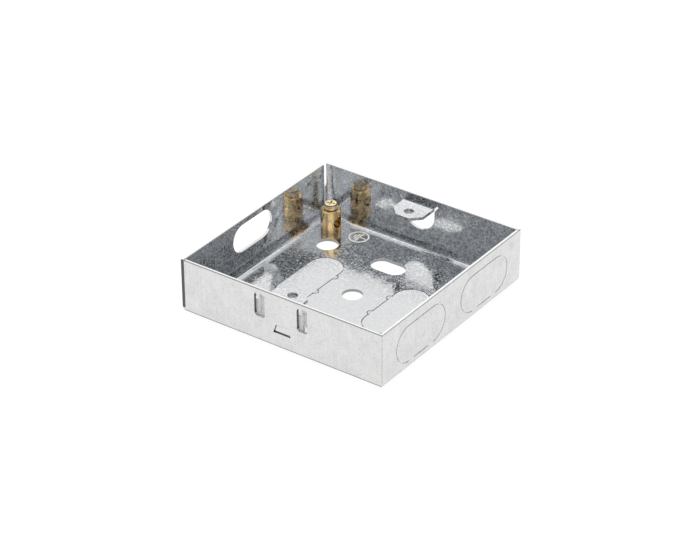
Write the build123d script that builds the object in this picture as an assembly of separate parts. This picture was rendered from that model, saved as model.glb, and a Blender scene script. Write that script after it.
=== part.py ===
from build123d import *
import os

# One-gang flush back box folded from one sheet, with a sliding lug and an earth terminal.
# Millimetres. The origin is the centre of the bottom face and +Z points out of the open side.
# The front wall faces -Y, the wall with the open cable way faces -X.

# Box
box_side = 73.5
box_depth = 18.85
sheet = 1.0
bend_outer = 2.5
bend_inner = bend_outer - sheet
half = box_side / 2
wall_inside = half - sheet

# Open cable way in the left wall
way_length = 19.8
way_height = 9.5
way_below_rim = 6.3
way_y = -2.7
way_z = box_depth - way_below_rim

# Corners, where the walls meet edge to edge above the floor bend
seam = 0.12
back_gap = 1.15
back_slit = 0.55
back_step_share = 0.58
back_step_z = box_depth * back_step_share

# Knock-outs: a thin sheared outline with ties left in it
groove_width = 0.26
groove_depth = 0.4
wall_knock_length = 25.5
wall_knock_inset = 7.2
wall_knock_lift = 0.65
wall_knock_margin = 6.35
wall_knock_height = box_depth - wall_knock_margin
wall_knock_y = half - wall_knock_length / 2 - wall_knock_inset
wall_knock_z = bend_outer + wall_knock_lift + wall_knock_height / 2
wall_tie_offset = 5.0
wall_tie_width = 2.6
floor_knock_width = 12.0
floor_knock_apart = 20.5
floor_knock_inset = 22.8
floor_knock_length = box_side - 2 * floor_knock_inset
floor_knock_x = (floor_knock_apart + floor_knock_width) / 2
floor_tie_offset = 5.1
floor_tie_width = 2.6

# Holes in the floor, placed from the walls
centre_hole_radius = 3.3
side_hole_radius = 3.6
side_hole_inset_x = 12.95
side_hole_inset_y = 17.0
side_hole_x = -(half - side_hole_inset_x)
side_hole_y = half - side_hole_inset_y
slot_length = 12.1
slot_width = 7.1
slot_inset = 17.1
slot_x = -0.4
slot_y = half - slot_inset

# Lugs that take the accessory screws
screw_inset = 6.6
lug_drop = 2.75
lug_half_width = 5.6
lug_shoulder_reach = 0.55
lug_tip_reach = 3.75
lug_tip_half_width = 2.3
lug_bend_inner = 0.5
lug_bend_outer = lug_bend_inner + sheet
thread_radius = 1.6
collar_radius = 2.5
collar_drop = 0.8
screw_y = half - screw_inset
lug_top = box_depth - lug_drop
lug_under = lug_top - sheet
lug_shoulder_y = screw_y - lug_shoulder_reach
lug_tip_y = screw_y - lug_tip_reach

# Window that the fixed lug was folded out of
window_radius = 5.8
window_drop = 9.0
window_low = lug_top - window_drop
relief_width = 0.6
relief_reach = 1.4
relief_lean = 38.0

# Windows and tongues of the front wall that hold the sliding lug
lug_travel = 0.8
slide_gap = 0.05
hold_x = 0.5
hook_window_x = 7.8
hook_window_width = 4.0
hook_window_height = 8.0
hook_window_drop = 1.45
hook_window_round = 1.2
hook_window_high = box_depth - hook_window_drop
hook_window_low = hook_window_high - hook_window_height
hook_side_gap = 0.35
hook_top_gap = 0.7
hook_low_gap = 0.8
hook_start = 0.2
hook_run = 1.6
hook_lean = 0.6
hook_corner = 1.5
hook_low = hook_window_low + hook_low_gap
hook_high = hook_window_high - hook_top_gap
hook_flat_x = hook_window_width / 2 - hook_start - hook_run
key_x = 0.8
key_low_width = 6.4
key_high_width = 4.5
key_height = 2.9
key_drop = 0.6
key_high = hook_window_low - key_drop
key_low = key_high - key_height

# Sliding lug: its leg lies behind the front wall, under both tongues
plate_left = 6.5
plate_right = 5.1
neck_reach = 2.3
leg_overlap = 0.9
leg_low = key_high - leg_overlap
leg_right = hold_x + hook_window_x + hook_flat_x - lug_travel - slide_gap
leg_slot_left = leg_right - 2 * hook_window_x
leg_slot_width = hook_run + hook_lean + 2 * (lug_travel + slide_gap)
leg_slot_right = leg_slot_left + leg_slot_width
leg_finger_width = 2.2

# Earth terminal
pillar_inset_x = 8.55
pillar_inset_y = 9.1
pillar_x = -(half - pillar_inset_x)
pillar_y = half - pillar_inset_y
pillar_radius = 3.25
pillar_height = 7.9
pillar_top = sheet + pillar_height
pillar_edge = 0.3
rivet_radius = 1.6
rivet_gap = 0.05
cross_hole_radius = 1.9
cross_hole_z = pillar_top - 4.0
cross_hole_turn = -2.0
screw_radius = 2.15
screw_bore_radius = screw_radius + slide_gap
screw_bore_low = pillar_top - 4.4
screw_stand = 1.95
screw_top = pillar_top + screw_stand
screw_length = 4.0
screw_edge = 0.25
screw_groove_depth = 0.25
screw_groove_width = 0.3
screw_groove_drop = 0.6
recess_width = 0.6
recess_length = 3.0
recess_depth = 0.8
recess_turn = 20.0


def slab(x0, x1, y0, y1, z0, z1):
    """A block given by its limits."""
    place = Pos((x0 + x1) / 2, (y0 + y1) / 2, (z0 + z1) / 2)
    return place * Box(x1 - x0, y1 - y0, z1 - z0)


def trough(length, width, radius):
    """A block along X whose two lower long edges are rounded."""
    block = Pos(0, 0, box_depth / 2) * Box(length, width, box_depth)
    return fillet(block.edges().filter_by(Axis.X).group_by(Axis.Z)[0], radius)


def tray(side, radius):
    """A square block whose four lower edges are rounded."""
    block = trough(side, side, radius)
    return block & Rot(0, 0, 90) * block


def shell():
    """Floor and four walls with their bends, before the corners are cut open."""
    outside = tray(box_side, bend_outer)
    inside = Pos(0, 0, sheet) * tray(2 * wall_inside, bend_inner)
    return outside - inside


def front_left_seam():
    """The cutter that ends the front wall against the inside of the left wall."""
    over = half + sheet
    return slab(-wall_inside, -wall_inside + seam, -over, -wall_inside, bend_outer, box_depth + sheet)


def right_seam(side):
    """The cutter for the mitred seam at the front (-1) or back (1) right corner."""
    middle = half - sheet / 2
    height = 2 * (box_depth - bend_outer)
    cutter = Box(4 * sheet, seam, height)
    return Pos(middle, side * middle, bend_outer + height / 2) * Rot(0, 0, side * 45) * cutter


def back_left_gap():
    """The cutter for the open corner at the back left: wide above, a slit below."""
    over = half + sheet
    edge = wall_inside
    upper = slab(-over, -edge, edge - back_gap, over, back_step_z, box_depth + sheet)
    lower = slab(-over, -edge, edge - back_gap, edge - back_gap + back_slit, bend_outer, back_step_z)
    return upper + lower


def upright_slot(length, height, depth):
    """An obround along Y that cuts along X."""
    shape = Plane.YZ * SlotOverall(length, height)
    return extrude(shape, depth / 2, both=True)


def cable_way():
    """The cutter for the open cable way in the left wall."""
    return Pos(-half, way_y, way_z) * upright_slot(way_length, way_height, 2 * sheet)


def outline_groove(length, width):
    """A flat obround ring, long way along X."""
    inner = SlotOverall(length - 2 * groove_width, width - 2 * groove_width)
    return SlotOverall(length, width) - inner


def two_sided(ring):
    """A groove cut from both faces of a sheet that lies from z = 0 to z = sheet."""
    upper = extrude(Pos(0, 0, sheet - groove_depth) * ring, 2 * groove_depth)
    lower = extrude(Pos(0, 0, -groove_depth) * ring, 2 * groove_depth)
    return upper + lower


def wall_knock_cutter():
    """The outline of one right-wall knock-out, drawn flat: X along the wall, Y up."""
    ring = outline_groove(wall_knock_length, wall_knock_height)
    for side in (-1, 1):
        tie = Rectangle(wall_tie_width, wall_knock_height / 2)
        ring -= Pos(side * wall_tie_offset, -wall_knock_height / 2) * tie
    return two_sided(ring)


def wall_knocks():
    """The cutters for both knock-outs of the right wall."""
    cutter = wall_knock_cutter()
    frame = Plane(origin=(wall_inside, 0, wall_knock_z), x_dir=(0, 1, 0), z_dir=(1, 0, 0))
    return [frame * Pos(side * wall_knock_y, 0, 0) * cutter for side in (-1, 1)]


def floor_knock_cutter():
    """The outline of one floor knock-out, with two rounded ties on its +X side."""
    ring = Rot(0, 0, 90) * outline_groove(floor_knock_length, floor_knock_width)
    edge = floor_knock_width / 2
    radius = floor_tie_width / 2
    for side in (-1, 1):
        gap = floor_tie_width - 2 * groove_width
        ring -= Pos(edge, side * floor_tie_offset) * Rectangle(2 * radius, gap)
        arc = Circle(radius) - Circle(radius - groove_width)
        arc &= Pos(edge / 2 - groove_width / 2, 0) * Rectangle(edge, edge)
        ring += Pos(edge - groove_width, side * floor_tie_offset) * arc
    return two_sided(ring)


def floor_knocks():
    """The cutters for both floor knock-outs, ties towards the middle."""
    cutter = floor_knock_cutter()
    left = Pos(-floor_knock_x, 0, 0) * cutter
    right = Pos(floor_knock_x, 0, 0) * mirror(cutter, Plane.YZ)
    return [left, right]


def floor_holes():
    """The cutters for the round holes, the slot and the rivet hole in the floor."""
    tall = 4 * sheet
    centre = Cylinder(centre_hole_radius, tall)
    side = Pos(side_hole_x, side_hole_y, 0) * Cylinder(side_hole_radius, tall)
    slot = Pos(slot_x, slot_y, 0) * extrude(SlotOverall(slot_length, slot_width), tall / 2, both=True)
    rivet = Pos(pillar_x, pillar_y, 0) * Cylinder(rivet_radius, tall)
    return [centre, side, slot, rivet]


def lug_window():
    """The cutter for the opening under the fixed lug, with its two relief slits."""
    centre_z = window_low + window_radius
    fold_z = lug_top + lug_bend_inner
    deep = 2 * sheet
    arc = Pos(0, wall_inside, centre_z) * Rot(90, 0, 0) * Cylinder(window_radius, 2 * deep)
    arc &= slab(-half, half, wall_inside - deep, half + deep, 0, centre_z)
    straight = slab(-window_radius, window_radius, wall_inside - sheet / 2, half + sheet, centre_z, fold_z)
    cutter = arc + straight
    for side in (-1, 1):
        slit = Box(relief_width, deep, 2 * relief_reach)
        place = Pos(side * (window_radius + relief_width / 2), half, fold_z - relief_width)
        cutter += place * Rot(0, side * relief_lean, 0) * slit
    return cutter


def quarter_bend(width, centre_y, centre_z, towards_y, towards_z):
    """A quarter ring of sheet along X, in the quadrant given by the two signs."""
    ring = Circle(lug_bend_outer) - Circle(lug_bend_inner)
    reach = lug_bend_outer
    ring &= Pos(towards_y * reach, towards_z * reach) * Rectangle(2 * reach, 2 * reach)
    return Pos(0, centre_y, centre_z) * extrude(Plane.YZ * ring, width / 2, both=True)


def lug_outline(root, left, right):
    """The flat outline of a lug that points towards -Y, given its root's points from right to left."""
    tip = [
        (-left, lug_shoulder_y),
        (-lug_tip_half_width, lug_tip_y),
        (lug_tip_half_width, lug_tip_y),
        (right, lug_shoulder_y),
    ]
    return make_face(Polyline(*root, *tip, close=True))


def tapped_plate(outline):
    """A lug plate with its drawn collar and screw hole."""
    plate = extrude(Pos(0, 0, lug_under) * outline, sheet)
    plate += Pos(0, screw_y, lug_under - collar_drop / 2) * Cylinder(collar_radius, collar_drop)
    return plate - Pos(0, screw_y, lug_under) * Cylinder(thread_radius, 6 * sheet)


def fixed_lug():
    """The lug folded inwards from the back wall."""
    fold_y = wall_inside - lug_bend_inner
    root = [(lug_half_width, fold_y), (-lug_half_width, fold_y)]
    plate = tapped_plate(lug_outline(root, lug_half_width, lug_half_width))
    bend = quarter_bend(2 * lug_half_width, fold_y, lug_top + lug_bend_inner, 1, -1)
    return plate + bend


def hook_windows():
    """The cutters for the two windows beside the sliding lug."""
    shape = Plane.XZ * RectangleRounded(hook_window_width, hook_window_height, hook_window_round)
    cutter = extrude(shape, 2 * sheet, both=True)
    middle = (hook_window_high + hook_window_low) / 2
    return [Pos(hold_x + side * hook_window_x, -half, middle) * cutter for side in (-1, 1)]


def key_window():
    """The cutter for the window with sloping sides below the sliding lug."""
    low = key_low_width / 2
    high = key_high_width / 2
    outline = Polyline((-low, key_low), (low, key_low), (high, key_high), (-high, key_high), close=True)
    return Pos(key_x, -half, 0) * extrude(Plane.XZ * make_face(outline), 2 * sheet, both=True)


def hooks():
    """The two tongues, hinged on the right of their windows and stepped inwards over the leg."""
    root_x = hook_window_width / 2
    ramp_x = root_x - hook_start
    tip_x = -root_x + hook_side_gap
    outer_y = -(wall_inside - 2 * slide_gap - sheet)
    inner_y = outer_y + sheet
    points = [
        (root_x + sheet / 2, -half),
        (ramp_x, -half),
        (hook_flat_x, outer_y),
        (tip_x, outer_y),
        (tip_x, inner_y),
        (hook_flat_x + hook_lean, inner_y),
        (ramp_x + hook_lean, -wall_inside),
        (root_x + sheet / 2, -wall_inside),
    ]
    face = make_face(Polyline(*points, close=True))
    tongue = extrude(Pos(0, 0, hook_low) * face, hook_high - hook_low)
    low_tip = tongue.edges().filter_by(Axis.Y).group_by(Axis.Z)[0].sort_by(Axis.X)[0]
    tongue = chamfer(low_tip, hook_corner)
    return [Pos(hold_x + side * hook_window_x, 0, 0) * tongue for side in (-1, 1)]


def box_body():
    """The folded sheet: floor, four walls, fixed lug, tongues and knock-outs."""
    body = shell() - front_left_seam() - back_left_gap()
    body -= right_seam(-1)
    body -= right_seam(1)
    body -= cable_way()
    body -= lug_window()
    body -= key_window()
    for cutter in hook_windows() + wall_knocks() + floor_knocks() + floor_holes():
        body -= cutter
    for tongue in hooks():
        body += tongue
    return body + fixed_lug()


def sliding_leg():
    """The leg behind the front wall, open above where the left tongue passes through it."""
    outer_y = -(wall_inside - slide_gap)
    inner_y = outer_y + sheet
    fold_z = lug_under - lug_bend_inner
    leg = slab(leg_slot_left - leg_finger_width, leg_right, outer_y, inner_y, leg_low, fold_z)
    slot_low = hook_low - slide_gap
    over = sheet
    return leg - slab(leg_slot_left, leg_slot_right, outer_y - over, inner_y + over, slot_low, fold_z + over)


def adjustable_lug():
    """The separate lug: plate, narrow neck with its bend, and leg."""
    leg_outer = wall_inside - slide_gap
    fold_y = leg_outer - sheet - lug_bend_inner
    fold_z = lug_under - lug_bend_inner
    neck_end = leg_outer - neck_reach
    root = [
        (plate_right, fold_y),
        (leg_slot_right, fold_y),
        (leg_slot_right, neck_end),
        (-plate_left, neck_end),
    ]
    plate = tapped_plate(lug_outline(root, plate_left, plate_right))
    middle = (plate_right + leg_slot_right) / 2
    bend = Pos(middle, 0, 0) * quarter_bend(plate_right - leg_slot_right, fold_y, fold_z, 1, 1)
    return mirror(plate + bend, Plane.XZ) + sliding_leg()


def earth_pillar():
    """The round brass post, riveted through the floor, with its cable hole."""
    post = Pos(0, 0, sheet + pillar_height / 2) * Cylinder(pillar_radius, pillar_height)
    post = chamfer(post.edges().group_by(Axis.Z)[-1], pillar_edge)
    rivet_height = sheet - rivet_gap
    post += Pos(0, 0, rivet_gap + rivet_height / 2) * Cylinder(rivet_radius - rivet_gap, rivet_height)
    bore_height = 2 * (pillar_top - screw_bore_low)
    post -= Pos(0, 0, screw_bore_low + bore_height / 2) * Cylinder(screw_bore_radius, bore_height)
    hole = Rot(0, 0, cross_hole_turn) * Rot(0, 90, 0) * Cylinder(cross_hole_radius, 3 * pillar_radius)
    post -= Pos(0, 0, cross_hole_z) * hole
    return Pos(pillar_x, pillar_y, 0) * post


def terminal_screw():
    """The clamping screw, standing partly out of the post, with its cross recess."""
    screw = Cylinder(screw_radius, screw_length)
    screw = chamfer(screw.edges().filter_by(GeomType.CIRCLE), screw_edge)
    screw = Pos(0, 0, screw_top - screw_length / 2) * screw
    ring = Circle(screw_radius + screw_edge) - Circle(screw_radius - screw_groove_depth)
    screw -= extrude(Pos(0, 0, screw_top - screw_groove_drop - screw_groove_width) * ring, screw_groove_width)
    for turn in (recess_turn, recess_turn + 90):
        cut = Box(recess_length, recess_width, 2 * recess_depth)
        screw -= Pos(0, 0, screw_top) * Rot(0, 0, turn) * cut
    return Pos(pillar_x, pillar_y, 0) * screw


os.makedirs("parts", exist_ok=True)
export_step(box_body(), "parts/box_body.step")
export_step(adjustable_lug(), "parts/adjustable_lug.step")
export_step(earth_pillar(), "parts/earth_pillar.step")
export_step(terminal_screw(), "parts/terminal_screw.step")
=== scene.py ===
import math

import bmesh
import bpy
from mathutils import Matrix, Vector


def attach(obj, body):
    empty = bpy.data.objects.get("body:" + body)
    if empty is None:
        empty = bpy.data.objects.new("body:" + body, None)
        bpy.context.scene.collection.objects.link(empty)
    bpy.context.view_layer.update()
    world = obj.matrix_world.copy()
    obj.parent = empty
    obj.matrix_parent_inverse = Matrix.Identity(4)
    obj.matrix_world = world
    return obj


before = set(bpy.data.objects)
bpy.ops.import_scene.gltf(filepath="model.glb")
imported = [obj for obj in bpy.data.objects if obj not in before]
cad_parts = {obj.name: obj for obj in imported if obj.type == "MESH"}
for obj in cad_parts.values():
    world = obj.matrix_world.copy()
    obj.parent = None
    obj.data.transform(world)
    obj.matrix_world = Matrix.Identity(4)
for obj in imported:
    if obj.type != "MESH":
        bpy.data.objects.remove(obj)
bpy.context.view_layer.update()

MM = 0.001

# Box, as in the CAD
SHEET = 1.0 * MM
FLOOR_TOP = SHEET
HALF = 36.75 * MM
WALL_INSIDE = HALF - SHEET
DEPTH = 18.85 * MM

# Floor knock-outs, tipped a little by their stamping
KNOCK_X = 16.25 * MM
KNOCK_RADIUS = 6.0 * MM
KNOCK_STRAIGHT = 7.95 * MM
KNOCK_TILT = 0.12

# Cable way in the left wall, with a shallow dish beyond its far end and a painted highlight round that end
WAY_END = (2.45 * MM, 12.55 * MM)
WAY_RADIUS = 4.75 * MM
DISH_WIDTH = 3.2 * MM
DISH_DEPTH = 2.6 * MM
DISH_START = 2.0 * MM
DISH_SHINE = (1.3 * MM, 2.2 * MM)
SHINE_START = 2.5 * MM

# Windows in the front wall, and what lies behind them
WINDOW_X = 0.5 * MM
WINDOW_APART = 7.8 * MM
WINDOW_HALF_WIDTH = 2.0 * MM
WINDOW_LOW = 9.5 * MM
WINDOW_HIGH = 17.3 * MM
WINDOWS_LEFT = -12.0 * MM
WINDOWS_RIGHT = 14.0 * MM
TONGUE_TILT = -0.6
TONGUE_BACK = -34.5 * MM
LEG_LOW = 7.5 * MM
KEY_HIGH = 8.8 * MM
KEY_SHADE = 1.1 * MM

# Earth terminal
PILLAR = (-28.2 * MM, 27.65 * MM)
PILLAR_TOP = 8.9 * MM
PILLAR_SHADE = 4.0 * MM
SCREW_RADIUS = 2.15 * MM
SCREW_TOP = 10.85 * MM
SCREW_EDGE = (0.35 * MM, 0.2 * MM)
SCREW_TOP_LINE = 0.3 * MM
SCREW_FOOT_LINE = 0.35 * MM

# Soft fold between floor and walls, and the slight lift of the fixed lug
FOLD_WIDTH = 4.0 * MM
FOLD_SLOPE = 0.65
LUG_TILT = 0.25
LUG_LOW = 15.0 * MM
LUG_HIGH = 16.3 * MM
LUG_TIP = 25.5 * MM

# Where the front of the sliding lug fades into the wall's shade
LUG_FRONT = (-35.4 * MM, -34.9 * MM)
LUG_BEND = (14.6 * MM, 15.0 * MM)

# Screw threads of the lugs
THREAD_PITCH = 0.6 * MM
THREAD_RADIUS = 1.6 * MM
THREAD_RIDGE = 0.17 * MM
THREAD_TURNS = 2.4
THREAD_STEPS = 40
RIDGE_SIDES = 6
THREAD_SHADE = (0.9 * MM, 1.1 * MM)
LUG_HOLE_Y = 30.15 * MM
LUG_HOLE_LOW = 14.45 * MM

# Earth sign pressed into the floor, its bars and stem as shares of its radius
SIGN_X = -18.3 * MM
SIGN_Y = 29.1 * MM
SIGN_RADIUS = 3.35 * MM
SIGN_LINE = 0.46 * MM
SIGN_RISE = 0.03 * MM
SIGN_TILT = 0.35
SIGN_STEM_X = 0.42
SIGN_STEM_LENGTH = 0.66
SIGN_BAR_X = 0.06
SIGN_BAR_STEP = 0.24
SIGN_BAR_LENGTHS = (1.5, 1.0, 0.5)

# Grain sizes, in lumps a metre
MOTTLE_GRAIN = 1300.0
PATCH_GRAIN = 260.0
CLOUD_GRAIN = 110.0
DRAWN_GRAIN = 1500.0
VEIN_GRAIN = 620.0
BURR_GRAIN = 1500.0
TURNED_GRAIN = 500.0

# Relief of the sheet and of the turned brass
WAVE_HEIGHT = 0.12 * MM
LUMP_HEIGHT = 0.007 * MM
TURNED_HEIGHT = 0.01 * MM

# How dark the painted shade is, as shares of the painted shade colour
RIM_DARK = 0.65
FRONT_RIM_DARK = 0.7
END_DARK = 0.9
WINDOW_DARK = 0.96
HOLE_DARK = 0.6
BOTTOM_DARK = 0.75
BEND_DARK = 0.85
FOOT_DARK = 0.75
SCREW_LINE_DARK = 0.85
THREAD_DARKEST = 0.9

# Reach of the painted shade and light: how far one goes past an edge, how softly it ends, and its width on a
# rim
PAST = 0.05 * MM
SOFT_LINE = 0.1 * MM
SOFT_FOOT = 0.15 * MM
RIM_DEEP = 0.12 * MM
RIM_LINE = 0.35 * MM
RIGHT_RIM_LINE = 0.3 * MM
FRONT_RIM_LINE = 0.45 * MM
BOTTOM_HIGH = 1.45 * MM
WINDOW_SHEET = (0.06 * MM, 2.4 * MM)
TONGUE_SHEET = (0.05 * MM, 2.0 * MM)
MOUTH_LOW = 3.0 * MM
MOUTH_DROP = 0.5 * MM
SILL = (9.0 * MM, 10.2 * MM)
HOLE_WALL = (0.06 * MM, 0.94 * MM)
CALM_FLOOR = (4.0 * MM, 12.0 * MM)
CALM_SHARE = 0.75
PALE_SHARE = 0.95

# Finishes
DARK_ZINC = (0.54, 0.56, 0.60, 1)
LIGHT_ZINC = (0.92, 0.92, 0.91, 1)
DULL_ZINC = (0.735, 0.74, 0.74, 1)
SMOOTH_ZINC = (0.83, 0.83, 0.82, 1)
DRAWN_ZINC = (0.88, 0.88, 0.87, 1)
# Painted highlight on the rims
RIM_HIGHLIGHT = (1.0, 1.0, 1.0, 1)
# Colour of the painted shade at cut edges, rims, hole walls, the bottom edge and on the sliding lug
PAINTED_SHADE_DARK = (0.05, 0.05, 0.055, 1)
BURR_DARK = (0.80, 0.81, 0.82, 1)
BURR_LIGHT = (0.97, 0.97, 0.96, 1)
# Painted shade on the top turn of the lug threads
THREAD_PAINTED_SHADE = (0.03, 0.03, 0.03, 1)
POST_LIGHT = (1.0, 0.78, 0.42, 1)
POST_DARK = (0.98, 0.66, 0.31, 1)
SCREW_LIGHT = (1.0, 0.90, 0.66, 1)
SCREW_DARK = (1.0, 0.82, 0.54, 1)
BRASS_SHADE = (0.25, 0.14, 0.06, 1)
# Painted shade for the lines round the terminal screw
BRASS_LINE_SHADE = (0.10, 0.05, 0.02, 1)
EDGE_ROUND = 0.08 * MM

# Camera
CAMERA_AZIMUTH = 35.757
CAMERA_ELEVATION = 31.643
CAMERA_ROLL = -0.27
CAMERA_LENS = 139.37
CAMERA_PLACE = Vector((409.18, -569.49, 438.36)) * MM
CAMERA_SENSOR = 36.0
CAMERA_NEAR = 0.01
CAMERA_FAR = 50.0

# Studio: light from a window above the back left and from the room in front
WINDOW_WAY = (-0.40, 0.35, 0.85)
WINDOW_SPAN = (0.52, 0.74)
WINDOW_LEVEL = 0.92
ROOM_WAY = (0.50, -0.69, 0.52)
ROOM_SPAN = (0.0, 1.0)
ROOM_LEVEL = 0.38
LAMP_SPAN = (0.86, 0.95)
LAMP_LEVEL = 0.56
SKY_BASE = 0.11
SKY_LIMIT = 1.15
SKY_COOL = (0.90, 0.98, 1.06, 1)
SKY_WARM = (1.0, 1.0, 0.99, 1)
SKY_WHITE = (1.0, 1.0, 1.0, 1)
SOFTBOX_PLACE = (-0.3, 0.5, 1.4)
SOFTBOX_SIZE = 1.2
SOFTBOX_POWER = 6.0
TABLE_HALF = 6.0
TABLE_DROP = 0.02 * MM
TABLE_PAPER = (0.9, 0.9, 0.9, 1)
TABLE_SHARE = 0.88
TABLE_MIRRORED = 0.95
TABLE_SEEN = 1.08
SQUARE = ((-1, -1), (1, -1), (1, 1), (-1, 1))


def new_material(name):
    """An empty node material with its shader and output."""
    material = bpy.data.materials.new(name)
    material.use_nodes = True
    tree = material.node_tree
    tree.nodes.clear()
    output = tree.nodes.new("ShaderNodeOutputMaterial")
    shader = tree.nodes.new("ShaderNodeBsdfPrincipled")
    tree.links.new(shader.outputs["BSDF"], output.inputs["Surface"])
    return material, tree, shader


def object_point(tree, stretch=(1.0, 1.0, 1.0)):
    """Object coordinates, stretched along each axis."""
    coordinates = tree.nodes.new("ShaderNodeTexCoord")
    mapping = tree.nodes.new("ShaderNodeMapping")
    mapping.inputs["Scale"].default_value = stretch
    tree.links.new(coordinates.outputs["Object"], mapping.inputs["Vector"])
    return mapping.outputs["Vector"]


def axes_of(tree, kind="Object"):
    """The x, y and z of the object's coordinates, or of its Normal."""
    coordinates = tree.nodes.new("ShaderNodeTexCoord")
    parts = tree.nodes.new("ShaderNodeSeparateXYZ")
    tree.links.new(coordinates.outputs[kind], parts.inputs["Vector"])
    return parts.outputs["X"], parts.outputs["Y"], parts.outputs["Z"]


def noise(tree, point, scale, detail=3.0, roughness=0.55):
    """A noise value at that many lumps a metre."""
    node = tree.nodes.new("ShaderNodeTexNoise")
    node.inputs["Scale"].default_value = scale
    node.inputs["Detail"].default_value = detail
    node.inputs["Roughness"].default_value = roughness
    tree.links.new(point, node.inputs["Vector"])
    return node.outputs["Fac"]


def spread(tree, value, low, high, from_low=0.3, from_high=0.7):
    """Maps a value to a range."""
    node = tree.nodes.new("ShaderNodeMapRange")
    node.inputs["From Min"].default_value = from_low
    node.inputs["From Max"].default_value = from_high
    node.inputs["To Min"].default_value = low
    node.inputs["To Max"].default_value = high
    tree.links.new(value, node.inputs["Value"])
    return node.outputs["Result"]


def blend(tree, factor, first, second):
    """Mixes two colours by a value; each is a socket or a plain colour."""
    node = tree.nodes.new("ShaderNodeMix")
    node.data_type = "RGBA"
    tree.links.new(factor, node.inputs["Factor"])
    for slot, colour in (("A", first), ("B", second)):
        if isinstance(colour, tuple):
            node.inputs[slot].default_value = colour
        else:
            tree.links.new(colour, node.inputs[slot])
    return node.outputs["Result"]


def bump(tree, height, strength, distance, under=None):
    """A bump from a height value, over another normal if one is given."""
    node = tree.nodes.new("ShaderNodeBump")
    node.inputs["Strength"].default_value = strength
    node.inputs["Distance"].default_value = distance
    tree.links.new(height, node.inputs["Height"])
    if under is not None:
        tree.links.new(under, node.inputs["Normal"])
    return node.outputs["Normal"]


def soft_edges(tree):
    """A normal that rounds sharp edges."""
    node = tree.nodes.new("ShaderNodeBevel")
    node.samples = 6
    node.inputs["Radius"].default_value = EDGE_ROUND
    return node.outputs["Normal"]


def maths(tree, kind, first, second=None):
    """One maths node; each input is a socket or a plain number."""
    node = tree.nodes.new("ShaderNodeMath")
    node.operation = kind
    for slot, value in enumerate((first, second)):
        if isinstance(value, (int, float)):
            node.inputs[slot].default_value = value
        elif value is not None:
            tree.links.new(value, node.inputs[slot])
    return node.outputs["Value"]


def chained(tree, kind, values):
    """Several values put together by one kind of maths."""
    total = values[0]
    for value in values[1:]:
        total = maths(tree, kind, total, value)
    return total


def product(tree, *values):
    """Several values multiplied together."""
    return chained(tree, "MULTIPLY", values)


def rest_of(tree, share):
    """What a share leaves of one."""
    return maths(tree, "SUBTRACT", 1.0, share)


def inside(tree, value, low, high, soft=0.02 * MM):
    """One between two limits and nought outside them, with soft ends."""
    rising = spread(tree, value, 0.0, 1.0, low - soft, low + soft)
    falling = spread(tree, value, 1.0, 0.0, high - soft, high + soft)
    return product(tree, rising, falling)


def diagonal(tree, first, second):
    """The long side over two sides of a right angle."""
    squares = [maths(tree, "POWER", side, 2.0) for side in (first, second)]
    return maths(tree, "SQRT", chained(tree, "ADD", squares))


def distance_from(tree, centre, first, second):
    """How far two coordinates are from a centre."""
    sides = [maths(tree, "SUBTRACT", value, middle) for value, middle in zip((first, second), centre)]
    return diagonal(tree, *sides)


def obround_distance(tree, along, across, centre_across, half_straight):
    """How far a point is from the middle line of an obround."""
    offset = maths(tree, "SUBTRACT", maths(tree, "ABSOLUTE", along), half_straight)
    beyond = maths(tree, "MAXIMUM", offset, 0.0)
    sideways = maths(tree, "SUBTRACT", across, centre_across)
    return diagonal(tree, beyond, sideways)


def within(tree, place):
    """One on the inside of the box and nought outside it."""
    x, y, z = place
    edge = WALL_INSIDE + PAST
    across = product(tree, inside(tree, x, -edge, edge), inside(tree, y, -edge, edge))
    return product(tree, across, inside(tree, z, FLOOR_TOP - 2 * PAST, DEPTH - PAST))


def on_left_wall(tree, x):
    """One on the left wall's inside face."""
    return inside(tree, x, -WALL_INSIDE - 2 * PAST, -WALL_INSIDE + 2 * PAST)


def rim_lines(tree, place):
    """Painted shade in thin grey lines along the rims, as a share of dark for each wall."""
    x, y, z = place
    rim = inside(tree, z, DEPTH - RIM_DEEP, DEPTH + MM, RIM_DEEP / 4)
    lines = (
        (x, HALF - RIGHT_RIM_LINE, HALF + MM, RIM_DARK),
        (y, -HALF - MM, -HALF + FRONT_RIM_LINE, FRONT_RIM_DARK),
        (x, -WALL_INSIDE - RIM_LINE, -WALL_INSIDE + PAST, RIM_DARK),
        (y, WALL_INSIDE - PAST, WALL_INSIDE + RIM_LINE, RIM_DARK),
    )
    return [
        product(tree, rim, inside(tree, across, low, high, SOFT_LINE), dark)
        for across, low, high, dark in lines
    ]


def window_edges(tree, place, normal):
    """Painted shade on the cut edges of the front wall's windows, apart from their light sills."""
    x, y, z = place
    start, end = WINDOW_SHEET
    steep = inside(tree, normal[1], -0.4, 0.4, 0.05)
    sideways = product(tree, steep, spread(tree, normal[0], 1.0, 0.85, 0.5, 0.9))
    sheet = inside(tree, y, -HALF + start, -HALF + end)
    across = inside(tree, x, WINDOWS_LEFT, WINDOWS_RIGHT)
    opening = product(tree, across, inside(tree, z, MOUTH_LOW, DEPTH - MOUTH_DROP))
    sill = product(tree, inside(tree, normal[2], 0.5, 1.1), inside(tree, z, *SILL))
    return product(tree, sideways, sheet, opening, rest_of(tree, sill), WINDOW_DARK)


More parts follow.
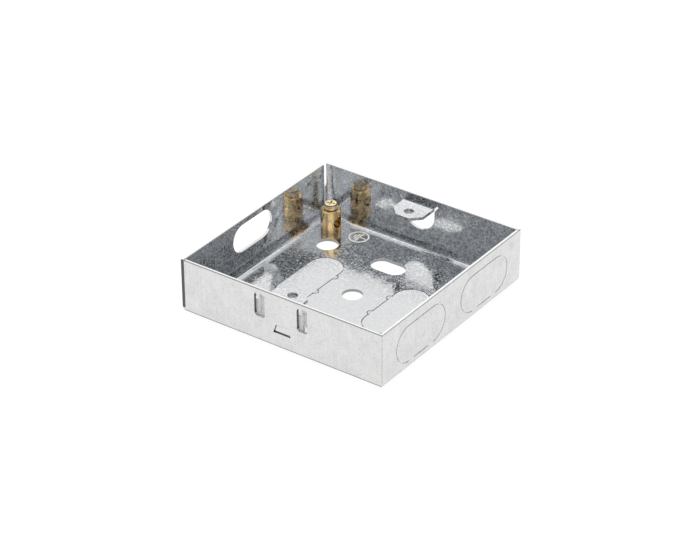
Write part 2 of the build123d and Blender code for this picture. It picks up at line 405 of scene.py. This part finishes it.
def painted_edge_shade(tree, place):
    """Painted shade on the box: its cut edges, the rims' thin lines and the bottom edge."""
    x, y, z = place
    normal = axes_of(tree, "Normal")
    end_face = inside(tree, y, -HALF - MM, -HALF + 0.02 * MM, 0.01 * MM)
    left_end = product(tree, inside(tree, x, -HALF - MM, -WALL_INSIDE), end_face, END_DARK)
    upright = inside(tree, normal[2], -0.4, 0.4, 0.05)
    floor_holes = product(tree, upright, inside(tree, z, *HOLE_WALL), HOLE_DARK)
    downwards = inside(tree, normal[2], -1.1, -0.3, 0.1)
    bottom = product(tree, inside(tree, z, SOFT_LINE, BOTTOM_HIGH, SOFT_LINE), downwards, BOTTOM_DARK)
    marks = [left_end, *rim_lines(tree, place), window_edges(tree, place, normal), floor_holes, bottom]
    return chained(tree, "MAXIMUM", marks)


def tongue_tilt(tree, place):
    """The height that turns the ramps of the two window tongues outwards."""
    x, y, z = place
    start, end = TONGUE_SHEET
    sheet = inside(tree, y, -HALF + start, -HALF + end)
    ramp = product(tree, sheet, inside(tree, z, WINDOW_LOW, WINDOW_HIGH))
    parts = []
    for side in (-1, 1):
        offset = maths(tree, "SUBTRACT", x, WINDOW_X + side * WINDOW_APART)
        opening = inside(tree, offset, -WINDOW_HALF_WIDTH, WINDOW_HALF_WIDTH)
        rise = maths(tree, "SUBTRACT", offset, WINDOW_HALF_WIDTH)
        parts.append(product(tree, opening, ramp, rise, TONGUE_TILT))
    return chained(tree, "ADD", parts)


def knock_tilt(tree, place):
    """The height of the two floor knock-outs, each tipped a little by its stamping."""
    x, y, z = place
    parts = []
    for side in (-1, 1):
        away = obround_distance(tree, y, x, side * KNOCK_X, KNOCK_STRAIGHT)
        disc = spread(tree, away, 1.0, 0.0, KNOCK_RADIUS - 2 * PAST, KNOCK_RADIUS)
        parts.append(product(tree, disc, y, KNOCK_TILT))
    floor = inside(tree, z, FLOOR_TOP / 2, FLOOR_TOP + 2 * PAST)
    return product(tree, chained(tree, "ADD", parts), floor)


def dish(tree, place):
    """The height of the left wall's inside, pressed outwards beyond the far end of the cable way."""
    x, y, z = place
    away = distance_from(tree, WAY_END, y, z)
    rise = spread(tree, away, -DISH_DEPTH, 0.0, WAY_RADIUS, WAY_RADIUS + DISH_WIDTH)
    beyond = spread(tree, y, 0.0, 1.0, WAY_END[0], WAY_END[0] + DISH_START)
    return product(tree, rise, beyond, on_left_wall(tree, x))


def dish_painted_highlight(tree, place):
    """A painted highlight where the dish beyond the cable way looks pale: a crescent round the opening's far
    end.
    """
    x, y, z = place
    near, far = DISH_SHINE
    crescent = spread(tree, distance_from(tree, WAY_END, y, z), 1.0, 0.0, WAY_RADIUS + near, WAY_RADIUS + far)
    beyond = spread(tree, y, 0.0, 1.0, WAY_END[0], WAY_END[0] + SHINE_START)
    return product(tree, crescent, beyond, on_left_wall(tree, x))


def fold_height(tree, place):
    """The height of the floor's soft fold towards the left and back walls."""
    x, y, _ = place
    parts = []
    for distance in (maths(tree, "ADD", x, WALL_INSIDE), maths(tree, "SUBTRACT", WALL_INSIDE, y)):
        near = maths(tree, "MAXIMUM", maths(tree, "SUBTRACT", FOLD_WIDTH, distance), 0.0)
        parts.append(product(tree, near, near, FOLD_SLOPE / (2 * FOLD_WIDTH)))
    return chained(tree, "ADD", parts)


def lug_lift(tree, place):
    """The height of the fixed lug, which rises a little towards its wall."""
    _, y, z = place
    lug = product(tree, inside(tree, z, LUG_LOW, LUG_HIGH), inside(tree, y, LUG_TIP, WALL_INSIDE + PAST))
    return product(tree, lug, maths(tree, "SUBTRACT", y, WALL_INSIDE), LUG_TILT)


def paint_window_light(tree, place, marked):
    """Painted light on the tongues and the leg behind the windows, so that they look as pale as the wall."""
    _, y, z = place
    behind = inside(tree, y, -WALL_INSIDE - PAST, TONGUE_BACK)
    window_painted_light = product(tree, behind, inside(tree, z, LEG_LOW, WINDOW_HIGH))
    if marked:
        normal = axes_of(tree, "Normal")
        window_painted_light = product(tree, window_painted_light, inside(tree, normal[1], -1.1, -0.5))
    return window_painted_light


def lug_shade(tree, place):
    """Where the sliding lug is dark: its bend and the foot of its leg, in the front wall's shade."""
    _, y, z = place
    front = spread(tree, y, 1.0, 0.0, *LUG_FRONT)
    bend = spread(tree, z, 0.0, 1.0, *LUG_BEND)
    foot = inside(tree, z, KEY_HIGH - KEY_SHADE, KEY_HIGH + PAST, SOFT_FOOT)
    return product(tree, front, maths(tree, "MAXIMUM", bend, product(tree, foot, FOOT_DARK)), BEND_DARK)


def zinc_colour(tree, place, plain, mottle, window_painted_light, marked):
    """Mottled inside, paler with drawn lines outside, white on the rims as a painted highlight, pale behind
    the windows as painted light, and dark with painted shade at cut edges and on the sliding lug.
    """
    _, y, z = place
    patches = noise(tree, plain, PATCH_GRAIN, 4.0, 0.6)
    drawn = noise(tree, object_point(tree, (1.0, 1.0, 0.05)), DRAWN_GRAIN)
    front = spread(tree, y, CALM_SHARE, 0.0, *CALM_FLOOR)
    calm = product(tree, front, inside(tree, z, FLOOR_TOP / 2, FLOOR_TOP + 4 * PAST))
    speckle = maths(tree, "SUBTRACT", spread(tree, mottle, 0.0, 1.0, 0.40, 0.62), 0.5)
    speckle = maths(tree, "ADD", product(tree, speckle, rest_of(tree, calm)), 0.5)
    inner = blend(tree, speckle, DARK_ZINC, LIGHT_ZINC)
    outer = blend(tree, spread(tree, patches, 0.0, 1.0), DULL_ZINC, SMOOTH_ZINC)
    streaks = product(tree, spread(tree, drawn, 0.0, 0.8, 0.45, 0.70), spread(tree, patches, 0.2, 1.0))
    outer = blend(tree, streaks, outer, DRAWN_ZINC)
    colour = blend(tree, within(tree, place), outer, inner)
    rim = spread(tree, z, 0.0, 1.0, DEPTH - 2 * PAST, DEPTH - PAST)
    colour = blend(tree, rim, colour, RIM_HIGHLIGHT)
    colour = blend(tree, window_painted_light, colour, LIGHT_ZINC)
    dark = painted_edge_shade(tree, place) if marked else lug_shade(tree, place)
    return blend(tree, dark, colour, PAINTED_SHADE_DARK)


def zinc_roughness(tree, plain, mottle, cloud):
    """Mirror-like with thin dull veins."""
    veins = noise(tree, plain, VEIN_GRAIN, 6.0, 0.75)
    distance = maths(tree, "ABSOLUTE", maths(tree, "SUBTRACT", veins, 0.5))
    thin = spread(tree, distance, 1.0, 0.0, 0.0, 0.07)
    flakes = product(tree, thin, spread(tree, mottle, 0.05, 0.6, 0.42, 0.62))
    return maths(tree, "ADD", spread(tree, cloud, 0.035, 0.08), flakes)


def zinc_relief(tree, place, plain, cloud, marked):
    """Slight waves and lumps under soft edges, and on the box its folds, dish and tipped parts."""
    waves = bump(tree, cloud, 1.0, WAVE_HEIGHT, soft_edges(tree))
    lumps = noise(tree, plain, MOTTLE_GRAIN, 2.0, 0.5)
    relief = bump(tree, lumps, 1.0, LUMP_HEIGHT, waves)
    if marked:
        folds = product(tree, fold_height(tree, place), within(tree, place))
        shapes = [make(tree, place) for make in (knock_tilt, dish, tongue_tilt, lug_lift)]
        relief = bump(tree, chained(tree, "ADD", shapes + [folds]), 1.0, 1.0, relief)
    return relief


def zinc_sheet(name, marked=True):
    """Bright galvanised sheet with painted light behind the windows; only the box is marked with the painted
    shade of its cut edges, a painted highlight beyond its cable way, and its folds and tipped parts.
    """
    material, tree, shader = new_material(name)
    place = axes_of(tree)
    plain = object_point(tree)
    mottle = noise(tree, plain, MOTTLE_GRAIN, 5.0, 0.7)
    cloud = noise(tree, plain, CLOUD_GRAIN)
    window_painted_light = paint_window_light(tree, place, marked)
    # Where painted light is wanted, the sheet turns less metallic so that it looks pale
    pale = maths(tree, "MAXIMUM", dish_painted_highlight(tree, place), window_painted_light) if marked else window_painted_light
    link = tree.links.new
    link(zinc_colour(tree, place, plain, mottle, window_painted_light, marked), shader.inputs["Base Color"])
    link(zinc_roughness(tree, plain, mottle, cloud), shader.inputs["Roughness"])
    link(zinc_relief(tree, place, plain, cloud, marked), shader.inputs["Normal"])
    link(rest_of(tree, product(tree, pale, PALE_SHARE)), shader.inputs["Metallic"])
    return material


def screw_shade_lines(tree, place):
    """Painted shade in dark lines round the terminal screw: its top edge and where it enters the post."""
    x, y, z = place
    start, full = SCREW_EDGE
    away = distance_from(tree, PILLAR, x, y)
    edge = spread(tree, away, 0.0, 1.0, SCREW_RADIUS - start, SCREW_RADIUS - full)
    top = inside(tree, z, SCREW_TOP - SCREW_TOP_LINE, SCREW_TOP + 2 * PAST, PAST)
    foot = inside(tree, z, PILLAR_TOP - 2 * PAST, PILLAR_TOP + SCREW_FOOT_LINE, PAST)
    return product(tree, edge, maths(tree, "MAXIMUM", top, foot), SCREW_LINE_DARK)


def brass(name, light, dark, rough, shaded, slope, lined=False):
    """Turned brass with rings of wear, darker towards the floor; the slope tips it to the light."""
    material, tree, shader = new_material(name)
    shader.inputs["Metallic"].default_value = 1.0
    turned = noise(tree, object_point(tree, (1.0, 1.0, 4.0)), TURNED_GRAIN, 2.0)
    place = axes_of(tree)
    _, y, z = place
    low = spread(tree, z, shaded, 0.0, FLOOR_TOP, FLOOR_TOP + PILLAR_SHADE)
    tint = blend(tree, spread(tree, turned, 0.0, 1.0), dark, light)
    tint = blend(tree, low, tint, BRASS_SHADE)
    if lined:
        tint = blend(tree, screw_shade_lines(tree, place), tint, BRASS_LINE_SHADE)
    tipped = bump(tree, product(tree, y, slope), 1.0, 1.0, soft_edges(tree))
    link = tree.links.new
    link(tint, shader.inputs["Base Color"])
    link(spread(tree, turned, rough, rough + 0.1), shader.inputs["Roughness"])
    link(bump(tree, turned, 0.3, TURNED_HEIGHT, tipped), shader.inputs["Normal"])
    return material


def pale_metal(name, slope, metallic):
    """Pale burred metal of pressed lines and threads, painted pale as painted light and tipped to the light
    by a slope; the top turn of a thread is painted shade.
    """
    material, tree, shader = new_material(name)
    shader.inputs["Metallic"].default_value = metallic
    shader.inputs["Roughness"].default_value = 0.3
    _, y, z = axes_of(tree)
    start, full = THREAD_SHADE
    grain = noise(tree, object_point(tree), BURR_GRAIN)
    tint = blend(tree, spread(tree, grain, 0.0, 1.0), BURR_DARK, BURR_LIGHT)
    # Painted shade on the top turn of the thread
    top_turn = spread(tree, z, 0.0, THREAD_DARKEST, LUG_HOLE_LOW + start, LUG_HOLE_LOW + full)
    tint = blend(tree, top_turn, tint, THREAD_PAINTED_SHADE)
    tree.links.new(tint, shader.inputs["Base Color"])
    tree.links.new(bump(tree, product(tree, y, slope), 1.0, 1.0), shader.inputs["Normal"])
    return material


def dress(node_name, material):
    """Gives a CAD node its material."""
    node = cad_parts[node_name]
    node.data.materials.clear()
    node.data.materials.append(material)


def thread_tree():
    """Geometry nodes that sweep a small ridge along a helix, with named sizes."""
    tree = bpy.data.node_groups.new("thread_ridge", "GeometryNodeTree")
    sockets = tree.interface
    sockets.new_socket("Geometry", in_out="OUTPUT", socket_type="NodeSocketGeometry")
    for label in ("Radius", "Pitch", "Turns", "Ridge"):
        sockets.new_socket(label, in_out="INPUT", socket_type="NodeSocketFloat")
    sockets.new_socket("Start", in_out="INPUT", socket_type="NodeSocketVector")
    sockets.new_socket("Metal", in_out="INPUT", socket_type="NodeSocketMaterial")
    entry = tree.nodes.new("NodeGroupInput")
    leave = tree.nodes.new("NodeGroupOutput")
    spiral = tree.nodes.new("GeometryNodeCurveSpiral")
    spiral.inputs["Resolution"].default_value = THREAD_STEPS
    rise = tree.nodes.new("ShaderNodeMath")
    rise.operation = "MULTIPLY"
    profile = tree.nodes.new("GeometryNodeCurvePrimitiveCircle")
    profile.inputs["Resolution"].default_value = RIDGE_SIDES
    sweep = tree.nodes.new("GeometryNodeCurveToMesh")
    sweep.inputs["Fill Caps"].default_value = True
    place = tree.nodes.new("GeometryNodeTransform")
    realize = tree.nodes.new("GeometryNodeRealizeInstances")
    paint = tree.nodes.new("GeometryNodeSetMaterial")
    link = tree.links.new
    link(entry.outputs["Turns"], spiral.inputs["Rotations"])
    link(entry.outputs["Radius"], spiral.inputs["Start Radius"])
    link(entry.outputs["Radius"], spiral.inputs["End Radius"])
    link(entry.outputs["Turns"], rise.inputs[0])
    link(entry.outputs["Pitch"], rise.inputs[1])
    link(rise.outputs["Value"], spiral.inputs["Height"])
    link(entry.outputs["Ridge"], profile.inputs["Radius"])
    link(spiral.outputs["Curve"], sweep.inputs["Curve"])
    link(profile.outputs["Curve"], sweep.inputs["Profile Curve"])
    link(sweep.outputs["Mesh"], place.inputs["Geometry"])
    link(entry.outputs["Start"], place.inputs["Translation"])
    link(place.outputs["Geometry"], realize.inputs["Geometry"])
    link(realize.outputs["Geometry"], paint.inputs["Geometry"])
    link(entry.outputs["Metal"], paint.inputs["Material"])
    link(paint.outputs["Geometry"], leave.inputs["Geometry"])
    return tree


def grown(name, tree, settings):
    """A plain mesh object made by a geometry nodes tree with these inputs."""
    seed = bpy.data.objects.new(name + "_seed", bpy.data.meshes.new(name + "_seed"))
    bpy.context.collection.objects.link(seed)
    modifier = seed.modifiers.new("grow", "NODES")
    modifier.node_group = tree
    for item in tree.interface.items_tree:
        if item.in_out == "INPUT" and item.name in settings:
            modifier[item.identifier] = settings[item.name]
    evaluated = seed.evaluated_get(bpy.context.evaluated_depsgraph_get())
    mesh = bpy.data.meshes.new_from_object(evaluated)
    mesh.name = name
    bpy.data.objects.remove(seed)
    piece = bpy.data.objects.new(name, mesh)
    bpy.context.collection.objects.link(piece)
    return piece


def lug_threads(metal):
    """The screw threads in both lug holes."""
    tree = thread_tree()
    for name, side, body in (("fixed_lug_thread", 1, "box"), ("sliding_lug_thread", -1, "lug")):
        settings = {
            "Radius": THREAD_RADIUS,
            "Pitch": THREAD_PITCH,
            "Turns": THREAD_TURNS,
            "Ridge": THREAD_RIDGE,
            "Start": (0.0, side * LUG_HOLE_Y, LUG_HOLE_LOW),
            "Metal": metal,
        }
        piece = grown(name, tree, settings)
        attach(piece, body)


def raised_lines(name, loops, material):
    """Thin raised lines on the floor, each between an outer and an inner ring of (x, y) points."""
    shape = bmesh.new()
    for outer, inner in loops:
        count = len(outer)
        rings = []
        for line, height in ((outer, 0.0), (outer, SIGN_RISE), (inner, SIGN_RISE), (inner, 0.0)):
            rings.append([shape.verts.new((x, y, FLOOR_TOP + height)) for x, y in line])
        for lower, upper in zip(rings, rings[1:]):
            for i in range(count):
                j = (i + 1) % count
                shape.faces.new((lower[i], lower[j], upper[j], upper[i]))
    bmesh.ops.remove_doubles(shape, verts=shape.verts, dist=0.001 * MM)
    bmesh.ops.recalc_face_normals(shape, faces=shape.faces)
    mesh = bpy.data.meshes.new(name)
    shape.to_mesh(mesh)
    shape.free()
    mesh.materials.append(material)
    piece = bpy.data.objects.new(name, mesh)
    bpy.context.collection.objects.link(piece)
    return piece


def circle(radius, count=48):
    """Points round the sign's middle."""
    turns = [2 * math.pi * i / count for i in range(count)]
    return [(SIGN_X + radius * math.cos(turn), SIGN_Y + radius * math.sin(turn)) for turn in turns]


def bar(centre_x, length_x, length_y, core=0.2):
    """A bar's outline and the small core inside it, as a pair of rings."""
    half_x = length_x / 2
    half_y = length_y / 2
    return [
        [(centre_x + a * half_x * share, SIGN_Y + b * half_y * share) for a, b in SQUARE]
        for share in (1.0, core)
    ]


def earth_sign(metal):
    """The pressed earth sign: a ring with a stem and three bars."""
    loops = [(circle(SIGN_RADIUS), circle(SIGN_RADIUS - SIGN_LINE))]
    loops.append(bar(SIGN_X + SIGN_RADIUS * SIGN_STEM_X, SIGN_RADIUS * SIGN_STEM_LENGTH, SIGN_LINE))
    for step, length in enumerate(SIGN_BAR_LENGTHS):
        offset = SIGN_RADIUS * (SIGN_BAR_X - step * SIGN_BAR_STEP)
        loops.append(bar(SIGN_X + offset, SIGN_LINE, SIGN_RADIUS * length))
    piece = raised_lines("earth_sign", loops, metal)
    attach(piece, "box")


def glow(tree, direction, span, strength):
    """Light in the sky round one direction, fading with the angle from it over a span of cosines."""
    coordinates = tree.nodes.new("ShaderNodeTexCoord")
    facing = tree.nodes.new("ShaderNodeVectorMath")
    facing.operation = "DOT_PRODUCT"
    facing.inputs[1].default_value = Vector(direction).normalized()
    tree.links.new(coordinates.outputs["Generated"], facing.inputs[0])
    return spread(tree, facing.outputs["Value"], 0.0, strength, *span)


def sky():
    """A bright soft window behind the box and a weaker room in front, on a white background."""
    world = bpy.data.worlds.new("studio")
    bpy.context.scene.world = world
    world.use_nodes = True
    tree = world.node_tree
    tree.nodes.clear()
    output = tree.nodes.new("ShaderNodeOutputWorld")
    background = tree.nodes.new("ShaderNodeBackground")
    camera_ray = tree.nodes.new("ShaderNodeLightPath").outputs["Is Camera Ray"]
    window = glow(tree, WINDOW_WAY, WINDOW_SPAN, WINDOW_LEVEL)
    room = glow(tree, ROOM_WAY, ROOM_SPAN, ROOM_LEVEL)
    room_lamp = glow(tree, ROOM_WAY, LAMP_SPAN, LAMP_LEVEL)
    soft = maths(tree, "MINIMUM", chained(tree, "ADD", (window, room, SKY_BASE)), SKY_LIMIT)
    level = maths(tree, "ADD", soft, room_lamp)
    tint = blend(tree, level, SKY_COOL, SKY_WARM)
    link = tree.links.new
    link(blend(tree, camera_ray, tint, SKY_WHITE), background.inputs["Color"])
    link(maths(tree, "MAXIMUM", level, camera_ray), background.inputs["Strength"])
    link(background.outputs["Background"], output.inputs["Surface"])


def table_paper():
    """White paper, which the camera and mirrors see mostly as an even white."""
    material = bpy.data.materials.new("table_white")
    material.use_nodes = True
    tree = material.node_tree
    tree.nodes.clear()
    output = tree.nodes.new("ShaderNodeOutputMaterial")
    paper = tree.nodes.new("ShaderNodeBsdfDiffuse")
    paper.inputs["Color"].default_value = TABLE_PAPER
    white = tree.nodes.new("ShaderNodeEmission")
    path = tree.nodes.new("ShaderNodeLightPath")
    mix = tree.nodes.new("ShaderNodeMixShader")
    camera_ray = path.outputs["Is Camera Ray"]
    seen = maths(tree, "MAXIMUM", camera_ray, path.outputs["Is Glossy Ray"])
    link = tree.links.new
    link(product(tree, seen, TABLE_SHARE), mix.inputs["Fac"])
    link(spread(tree, camera_ray, TABLE_MIRRORED, TABLE_SEEN, 0.0, 1.0), white.inputs["Strength"])
    link(paper.outputs["BSDF"], mix.inputs[1])
    link(white.outputs["Emission"], mix.inputs[2])
    link(mix.outputs["Shader"], output.inputs["Surface"])
    return material


def table_top():
    """A plain pale table under the box."""
    mesh = bpy.data.meshes.new("table_top")
    corners = [(a * TABLE_HALF, b * TABLE_HALF, -TABLE_DROP) for a, b in SQUARE]
    mesh.from_pydata(corners, [], [(0, 1, 2, 3)])
    mesh.materials.append(table_paper())
    table = bpy.data.objects.new("table_top", mesh)
    bpy.context.collection.objects.link(table)


def lamp(name, place, size, power):
    """A soft square lamp aimed at the box, which mirrors don't show."""
    data = bpy.data.lights.new(name, "AREA")
    data.size = size
    data.energy = power
    light = bpy.data.objects.new(name, data)
    light.location = place
    light.visible_glossy = False
    light.rotation_euler = (-Vector(place)).to_track_quat("-Z", "Y").to_euler()
    bpy.context.collection.objects.link(light)


def camera():
    """The camera at the photograph's viewing angle."""
    data = bpy.data.cameras.new("camera")
    data.lens = CAMERA_LENS
    data.sensor_width = CAMERA_SENSOR
    data.clip_start = CAMERA_NEAR
    data.clip_end = CAMERA_FAR
    viewer = bpy.data.objects.new("camera", data)
    turn = math.radians(CAMERA_AZIMUTH)
    tilt = math.radians(CAMERA_ELEVATION)
    roll = math.radians(CAMERA_ROLL)
    back = Vector((math.sin(turn) * math.cos(tilt), -math.cos(turn) * math.cos(tilt), math.sin(tilt)))
    right = Vector((math.cos(turn), math.sin(turn), 0.0))
    up = back.cross(right)
    rolled_right = right * math.cos(roll) + up * math.sin(roll)
    rolled_up = up * math.cos(roll) - right * math.sin(roll)
    axes = Matrix((rolled_right, rolled_up, back)).transposed().to_4x4()
    viewer.matrix_world = Matrix.Translation(CAMERA_PLACE) @ axes
    bpy.context.collection.objects.link(viewer)
    bpy.context.scene.camera = viewer


dress("box_body", zinc_sheet("bright_zinc"))
dress("adjustable_lug", zinc_sheet("lug_zinc", marked=False))
dress("earth_pillar", brass("post_brass", POST_LIGHT, POST_DARK, rough=0.12, shaded=0.7, slope=0.0))
screw_brass = brass("screw_brass", SCREW_LIGHT, SCREW_DARK, rough=0.25, shaded=0.0, slope=0.32, lined=True)
dress("terminal_screw", screw_brass)
# The threads are nearly diffuse and painted pale, as painted light in the lug holes
lug_threads(pale_metal("thread_zinc", slope=0.0, metallic=0.1))
earth_sign(pale_metal("pressed_zinc", slope=SIGN_TILT, metallic=0.9))
sky()
table_top()
lamp("overhead_softbox", SOFTBOX_PLACE, SOFTBOX_SIZE, SOFTBOX_POWER)
camera()
bpy.context.scene.view_settings.view_transform = "Standard"
